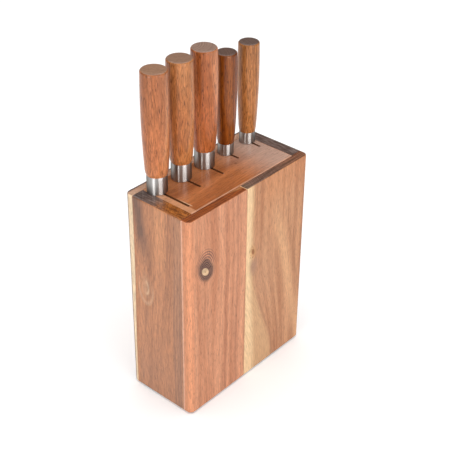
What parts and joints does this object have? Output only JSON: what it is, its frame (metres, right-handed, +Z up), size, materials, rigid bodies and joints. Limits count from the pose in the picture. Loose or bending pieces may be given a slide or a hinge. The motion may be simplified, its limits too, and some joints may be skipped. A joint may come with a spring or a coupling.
{
  "type": "knife block with knives",
  "caption": "Upright hollow wooden knife block with a slotted top plate, holding round-handled knives with steel ferrules.",
  "frame": {"origin": "centre of the block's footprint, on the surface the feet stand on", "axes": "+Z up and along the knives, X along the broad faces from the chef's knife to the paring knife, -Y towards the front broad face that the cutting edges point at"},
  "size_m": [0.178, 0.084, 0.3635],
  "materials": {
    "front_left_wood": "satin oiled acacia heartwood with a knot",
    "front_right_wood": "satin oiled acacia, sapwood and heartwood",
    "back_wood": "satin oiled acacia",
    "end_wood": "satin oiled dark acacia heartwood",
    "plate_wood": "semi-gloss oiled acacia",
    "base_wood": "satin oiled acacia",
    "handle_wood": "smooth oiled acacia",
    "ferrule_steel": "fine brushed, nearly polished",
    "blade_steel": "satin ground",
    "foot_rubber": "matte"
  },
  "bodies": {
    "block": {"front_panel_left_stave": "front_left_wood", "front_panel_right_stave": "front_right_wood", "back_panel_left_stave": "back_wood", "back_panel_right_stave": "back_wood", "left_end_panel": "end_wood", "right_end_panel": "end_wood", "slotted_top_plate": "plate_wood", "base_board": "base_wood", "foot_front_left": "foot_rubber", "foot_front_right": "foot_rubber", "foot_back_left": "foot_rubber", "foot_back_right": "foot_rubber"},
    "chef_knife": {"chef_knife_blade": "blade_steel", "chef_knife_ferrule": "ferrule_steel", "chef_knife_handle": "handle_wood"},
    "carving_knife": {"carving_knife_blade": "blade_steel", "carving_knife_ferrule": "ferrule_steel", "carving_knife_handle": "handle_wood"},
    "bread_knife": {"bread_knife_blade": "blade_steel", "bread_knife_ferrule": "ferrule_steel", "bread_knife_handle": "handle_wood"},
    "utility_knife": {"utility_knife_blade": "blade_steel", "utility_knife_ferrule": "ferrule_steel", "utility_knife_handle": "handle_wood"},
    "paring_knife": {"paring_knife_blade": "blade_steel", "paring_knife_ferrule": "ferrule_steel", "paring_knife_handle": "handle_wood"}
  },
  "joints": [
    {"name": "chef_knife_lift", "type": "slide", "parent": "block", "child": "chef_knife", "axis": [0, 0, 1], "range_m": [0, 0.218]},
    {"name": "carving_knife_lift", "type": "slide", "parent": "block", "child": "carving_knife", "axis": [0, 0, 1], "range_m": [0, 0.216]},
    {"name": "bread_knife_lift", "type": "slide", "parent": "block", "child": "bread_knife", "axis": [0, 0, 1], "range_m": [0, 0.218]},
    {"name": "utility_knife_lift", "type": "slide", "parent": "block", "child": "utility_knife", "axis": [0, 0, 1], "range_m": [0, 0.142]},
    {"name": "paring_knife_lift", "type": "slide", "parent": "block", "child": "paring_knife", "axis": [0, 0, 1], "range_m": [0, 0.106]}
  ]
}
